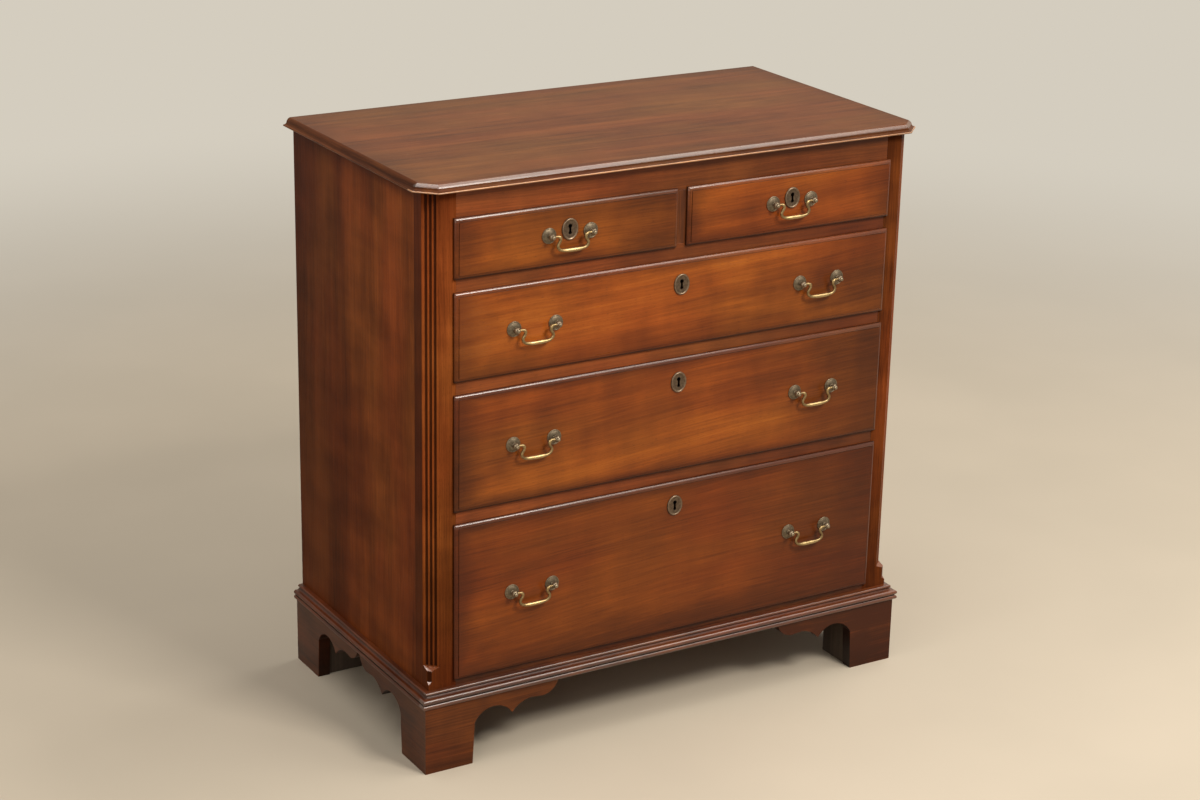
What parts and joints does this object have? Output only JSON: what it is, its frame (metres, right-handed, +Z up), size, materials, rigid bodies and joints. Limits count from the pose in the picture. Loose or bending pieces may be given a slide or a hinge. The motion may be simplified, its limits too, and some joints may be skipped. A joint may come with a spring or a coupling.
{
  "type": "chest of drawers",
  "caption": "Chest of small drawers over long graduated drawers, with lipped fronts, canted fluted corners, moulded top, bracket feet, brass bail pulls and drawer locks.",
  "frame": {"origin": "middle of the bottom of the whole, on the floor", "axes": "+X to the right seen from the front, the front faces -Y, +Z up"},
  "size_m": [0.965, 0.524, 1.004],
  "materials": {
    "mahogany": "satin reddish brown lacquer",
    "secondary_wood": "plain unstained wood",
    "aged_brass": "dark aged brass",
    "bright_brass": "handled brass, brighter where worn",
    "steel": "plain steel"
  },
  "bodies": {
    "case": {"top_board": "mahogany", "left_side_panel": "mahogany", "right_side_panel": "mahogany", "left_corner_post": "mahogany", "right_corner_post": "mahogany", "top_rail": "mahogany", "drawer_rails": "mahogany", "bottom_rail": "mahogany", "centre_stile": "mahogany", "drawer_runners": "secondary_wood", "drawer_guides": "secondary_wood", "top_cleats": "secondary_wood", "bottom_board": "secondary_wood", "back_panel": "secondary_wood", "base_moulding": "mahogany", "front_left_foot": "mahogany", "front_right_foot": "mahogany", "back_left_foot": "mahogany", "back_right_foot": "mahogany", "glue_blocks": "secondary_wood", "top_screws": "steel", "back_screws": "steel"},
    "small_left_drawer": {"small_left_drawer_front": "mahogany", "small_left_drawer_box": "secondary_wood", "small_left_drawer_pull_mounts": "aged_brass", "small_left_drawer_escutcheon": "aged_brass", "small_left_drawer_lock_case": "steel"},
    "small_left_drawer_lock_bolt": {"small_left_drawer_lock_bolt": "steel"},
    "small_left_drawer_bail": {"small_left_drawer_bail": "bright_brass"},
    "small_right_drawer": {"small_right_drawer_front": "mahogany", "small_right_drawer_box": "secondary_wood", "small_right_drawer_pull_mounts": "aged_brass", "small_right_drawer_escutcheon": "aged_brass", "small_right_drawer_lock_case": "steel"},
    "small_right_drawer_lock_bolt": {"small_right_drawer_lock_bolt": "steel"},
    "small_right_drawer_bail": {"small_right_drawer_bail": "bright_brass"},
    "upper_drawer": {"upper_drawer_front": "mahogany", "upper_drawer_box": "secondary_wood", "upper_drawer_pull_mounts": "aged_brass", "upper_drawer_escutcheon": "aged_brass", "upper_drawer_lock_case": "steel"},
    "upper_drawer_lock_bolt": {"upper_drawer_lock_bolt": "steel"},
    "upper_drawer_left_bail": {"upper_drawer_left_bail": "bright_brass"},
    "upper_drawer_right_bail": {"upper_drawer_right_bail": "bright_brass"},
    "middle_drawer": {"middle_drawer_front": "mahogany", "middle_drawer_box": "secondary_wood", "middle_drawer_pull_mounts": "aged_brass", "middle_drawer_escutcheon": "aged_brass", "middle_drawer_lock_case": "steel"},
    "middle_drawer_lock_bolt": {"middle_drawer_lock_bolt": "steel"},
    "middle_drawer_left_bail": {"middle_drawer_left_bail": "bright_brass"},
    "middle_drawer_right_bail": {"middle_drawer_right_bail": "bright_brass"},
    "lower_drawer": {"lower_drawer_front": "mahogany", "lower_drawer_box": "secondary_wood", "lower_drawer_pull_mounts": "aged_brass", "lower_drawer_escutcheon": "aged_brass", "lower_drawer_lock_case": "steel"},
    "lower_drawer_lock_bolt": {"lower_drawer_lock_bolt": "steel"},
    "lower_drawer_left_bail": {"lower_drawer_left_bail": "bright_brass"},
    "lower_drawer_right_bail": {"lower_drawer_right_bail": "bright_brass"}
  },
  "joints": [
    {"name": "small_left_drawer_slide", "type": "slide", "parent": "case", "child": "small_left_drawer", "axis": [0, -1, 0], "range_m": [0, 0.34]},
    {"name": "small_left_drawer_lock_bolt_slide", "type": "slide", "parent": "small_left_drawer", "child": "small_left_drawer_lock_bolt", "axis": [0, 0, 1], "range_m": [0, 0.008]},
    {"name": "small_left_drawer_bail_hinge", "type": "hinge", "parent": "small_left_drawer", "child": "small_left_drawer_bail", "pos_m": [-0.21425, -0.2555, 0.898], "axis": [-1, 0, 0], "range_deg": [0, 95]},
    {"name": "small_right_drawer_slide", "type": "slide", "parent": "case", "child": "small_right_drawer", "axis": [0, -1, 0], "range_m": [0, 0.34]},
    {"name": "small_right_drawer_lock_bolt_slide", "type": "slide", "parent": "small_right_drawer", "child": "small_right_drawer_lock_bolt", "axis": [0, 0, 1], "range_m": [0, 0.008]},
    {"name": "small_right_drawer_bail_hinge", "type": "hinge", "parent": "small_right_drawer", "child": "small_right_drawer_bail", "pos_m": [0.21425, -0.2555, 0.898], "axis": [-1, 0, 0], "range_deg": [0, 95]},
    {"name": "upper_drawer_slide", "type": "slide", "parent": "case", "child": "upper_drawer", "axis": [0, -1, 0], "range_m": [0, 0.34]},
    {"name": "upper_drawer_lock_bolt_slide", "type": "slide", "parent": "upper_drawer", "child": "upper_drawer_lock_bolt", "axis": [0, 0, 1], "range_m": [0, 0.008]},
    {"name": "upper_drawer_left_bail_hinge", "type": "hinge", "parent": "upper_drawer", "child": "upper_drawer_left_bail", "pos_m": [-0.276, -0.2555, 0.752], "axis": [-1, 0, 0], "range_deg": [0, 95]},
    {"name": "upper_drawer_right_bail_hinge", "type": "hinge", "parent": "upper_drawer", "child": "upper_drawer_right_bail", "pos_m": [0.276, -0.2555, 0.752], "axis": [-1, 0, 0], "range_deg": [0, 95]},
    {"name": "middle_drawer_slide", "type": "slide", "parent": "case", "child": "middle_drawer", "axis": [0, -1, 0], "range_m": [0, 0.34]},
    {"name": "middle_drawer_lock_bolt_slide", "type": "slide", "parent": "middle_drawer", "child": "middle_drawer_lock_bolt", "axis": [0, 0, 1], "range_m": [0, 0.008]},
    {"name": "middle_drawer_left_bail_hinge", "type": "hinge", "parent": "middle_drawer", "child": "middle_drawer_left_bail", "pos_m": [-0.276, -0.2555, 0.556], "axis": [-1, 0, 0], "range_deg": [0, 95]},
    {"name": "middle_drawer_right_bail_hinge", "type": "hinge", "parent": "middle_drawer", "child": "middle_drawer_right_bail", "pos_m": [0.276, -0.2555, 0.556], "axis": [-1, 0, 0], "range_deg": [0, 95]},
    {"name": "lower_drawer_slide", "type": "slide", "parent": "case", "child": "lower_drawer", "axis": [0, -1, 0], "range_m": [0, 0.34]},
    {"name": "lower_drawer_lock_bolt_slide", "type": "slide", "parent": "lower_drawer", "child": "lower_drawer_lock_bolt", "axis": [0, 0, 1], "range_m": [0, 0.008]},
    {"name": "lower_drawer_left_bail_hinge", "type": "hinge", "parent": "lower_drawer", "child": "lower_drawer_left_bail", "pos_m": [-0.276, -0.2555, 0.2965], "axis": [-1, 0, 0], "range_deg": [0, 95]},
    {"name": "lower_drawer_right_bail_hinge", "type": "hinge", "parent": "lower_drawer", "child": "lower_drawer_right_bail", "pos_m": [0.276, -0.2555, 0.2965], "axis": [-1, 0, 0], "range_deg": [0, 95]}
  ]
}
